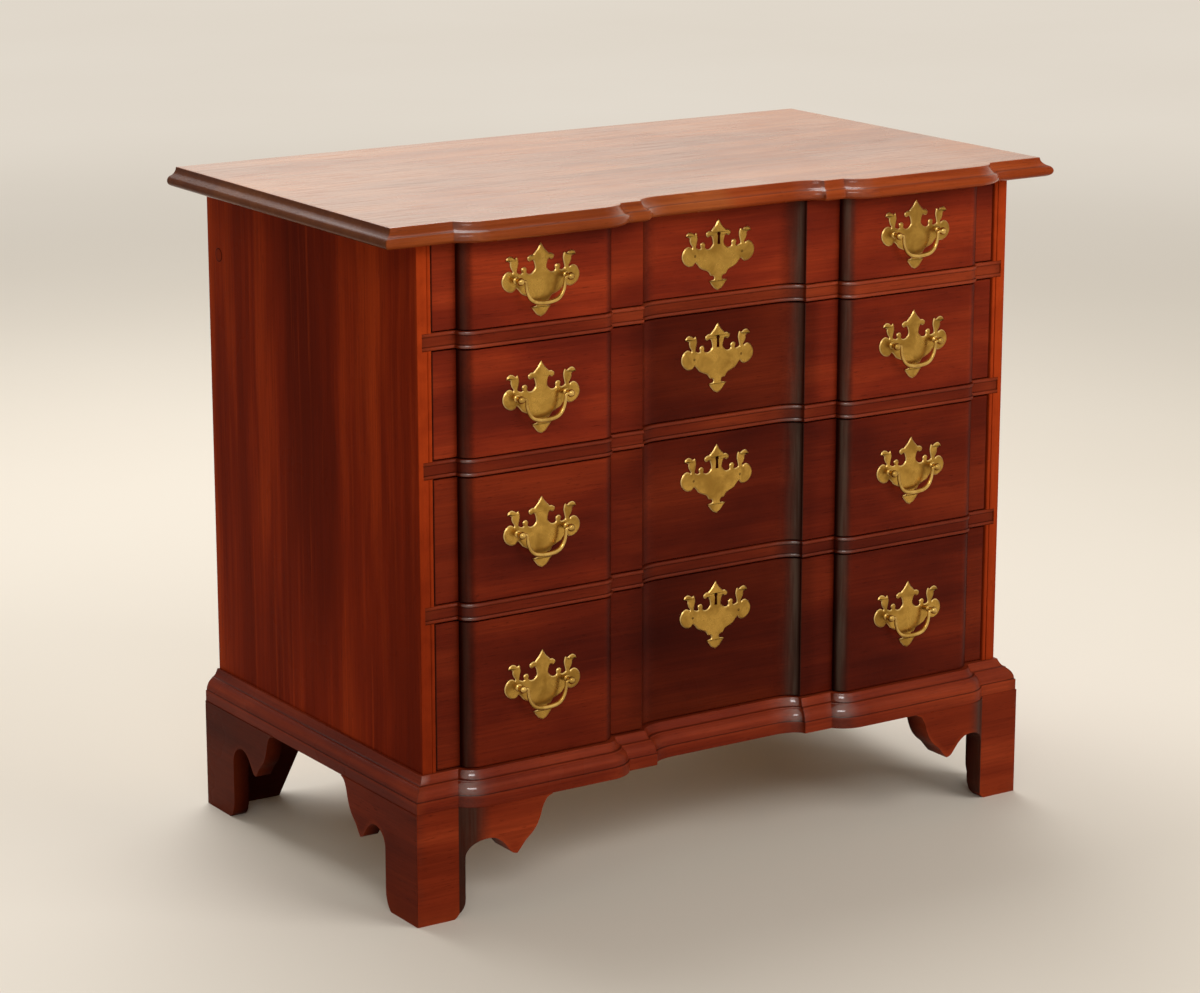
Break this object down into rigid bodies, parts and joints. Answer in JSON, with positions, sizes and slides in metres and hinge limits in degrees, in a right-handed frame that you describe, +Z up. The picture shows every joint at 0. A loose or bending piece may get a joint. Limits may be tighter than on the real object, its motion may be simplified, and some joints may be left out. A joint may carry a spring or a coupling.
{
  "type": "chest of drawers",
  "caption": "Low chest of drawers with a blocked front, moulded top, scrolled bracket feet, sliding drawers and swinging brass bail pulls.",
  "frame": {"origin": "on the floor, under the middle of the top board's outline", "axes": "+X to the right as seen from the front, -Y towards the front, +Z up"},
  "size_m": [0.914, 0.526, 0.786],
  "materials": {
    "top_wood": "polished mahogany",
    "side_wood": "polished mahogany, streaked along the height",
    "drawer_wood": "polished mahogany, grain across",
    "moulding_wood": "polished mahogany",
    "hidden_wood": "plain planed wood",
    "brass": "aged polished brass"
  },
  "bodies": {
    "case": {"top_board": "top_wood", "left_side": "side_wood", "right_side": "side_wood", "divider_1": "moulding_wood", "divider_2": "moulding_wood", "divider_3": "moulding_wood", "base_moulding_front": "moulding_wood", "base_moulding_left": "moulding_wood", "base_moulding_right": "moulding_wood", "left_front_foot_face": "moulding_wood", "left_front_foot_side": "moulding_wood", "left_rear_foot": "moulding_wood", "right_front_foot_face": "moulding_wood", "right_front_foot_side": "moulding_wood", "right_rear_foot": "moulding_wood", "back_panel": "hidden_wood", "case_bottom": "hidden_wood", "dust_board_1": "hidden_wood", "dust_board_2": "hidden_wood", "dust_board_3": "hidden_wood"},
    "drawer_1": {"drawer_1_front": "drawer_wood", "drawer_1_left_side": "hidden_wood", "drawer_1_right_side": "hidden_wood", "drawer_1_back": "hidden_wood", "drawer_1_bottom": "hidden_wood", "drawer_1_left_pull_plate": "brass", "drawer_1_right_pull_plate": "brass", "drawer_1_key_plate": "brass"},
    "drawer_1_left_bail": {"drawer_1_left_bail": "brass"},
    "drawer_1_right_bail": {"drawer_1_right_bail": "brass"},
    "drawer_2": {"drawer_2_front": "drawer_wood", "drawer_2_left_side": "hidden_wood", "drawer_2_right_side": "hidden_wood", "drawer_2_back": "hidden_wood", "drawer_2_bottom": "hidden_wood", "drawer_2_left_pull_plate": "brass", "drawer_2_right_pull_plate": "brass", "drawer_2_key_plate": "brass"},
    "drawer_2_left_bail": {"drawer_2_left_bail": "brass"},
    "drawer_2_right_bail": {"drawer_2_right_bail": "brass"},
    "drawer_3": {"drawer_3_front": "drawer_wood", "drawer_3_left_side": "hidden_wood", "drawer_3_right_side": "hidden_wood", "drawer_3_back": "hidden_wood", "drawer_3_bottom": "hidden_wood", "drawer_3_left_pull_plate": "brass", "drawer_3_right_pull_plate": "brass", "drawer_3_key_plate": "brass"},
    "drawer_3_left_bail": {"drawer_3_left_bail": "brass"},
    "drawer_3_right_bail": {"drawer_3_right_bail": "brass"},
    "drawer_4": {"drawer_4_front": "drawer_wood", "drawer_4_left_side": "hidden_wood", "drawer_4_right_side": "hidden_wood", "drawer_4_back": "hidden_wood", "drawer_4_bottom": "hidden_wood", "drawer_4_left_pull_plate": "brass", "drawer_4_right_pull_plate": "brass", "drawer_4_key_plate": "brass"},
    "drawer_4_left_bail": {"drawer_4_left_bail": "brass"},
    "drawer_4_right_bail": {"drawer_4_right_bail": "brass"}
  },
  "joints": [
    {"name": "drawer_1_slide", "type": "slide", "parent": "case", "child": "drawer_1", "axis": [0, -1, 0], "range_m": [0, 0.36]},
    {"name": "drawer_1_left_bail_hinge", "type": "hinge", "parent": "drawer_1", "child": "drawer_1_left_bail", "pos_m": [-0.258, -0.2466, 0.71425], "axis": [-1, 0, 0], "range_deg": [0, 85]},
    {"name": "drawer_1_right_bail_hinge", "type": "hinge", "parent": "drawer_1", "child": "drawer_1_right_bail", "pos_m": [0.258, -0.2466, 0.71425], "axis": [-1, 0, 0], "range_deg": [0, 85]},
    {"name": "drawer_2_slide", "type": "slide", "parent": "case", "child": "drawer_2", "axis": [0, -1, 0], "range_m": [0, 0.36]},
    {"name": "drawer_2_left_bail_hinge", "type": "hinge", "parent": "drawer_2", "child": "drawer_2_left_bail", "pos_m": [-0.258, -0.2466, 0.58375], "axis": [-1, 0, 0], "range_deg": [0, 85]},
    {"name": "drawer_2_right_bail_hinge", "type": "hinge", "parent": "drawer_2", "child": "drawer_2_right_bail", "pos_m": [0.258, -0.2466, 0.58375], "axis": [-1, 0, 0], "range_deg": [0, 85]},
    {"name": "drawer_3_slide", "type": "slide", "parent": "case", "child": "drawer_3", "axis": [0, -1, 0], "range_m": [0, 0.36]},
    {"name": "drawer_3_left_bail_hinge", "type": "hinge", "parent": "drawer_3", "child": "drawer_3_left_bail", "pos_m": [-0.258, -0.2466, 0.43125], "axis": [-1, 0, 0], "range_deg": [0, 85]},
    {"name": "drawer_3_right_bail_hinge", "type": "hinge", "parent": "drawer_3", "child": "drawer_3_right_bail", "pos_m": [0.258, -0.2466, 0.43125], "axis": [-1, 0, 0], "range_deg": [0, 85]},
    {"name": "drawer_4_slide", "type": "slide", "parent": "case", "child": "drawer_4", "axis": [0, -1, 0], "range_m": [0, 0.36]},
    {"name": "drawer_4_left_bail_hinge", "type": "hinge", "parent": "drawer_4", "child": "drawer_4_left_bail", "pos_m": [-0.258, -0.2466, 0.2545], "axis": [-1, 0, 0], "range_deg": [0, 85]},
    {"name": "drawer_4_right_bail_hinge", "type": "hinge", "parent": "drawer_4", "child": "drawer_4_right_bail", "pos_m": [0.258, -0.2466, 0.2545], "axis": [-1, 0, 0], "range_deg": [0, 85]}
  ]
}
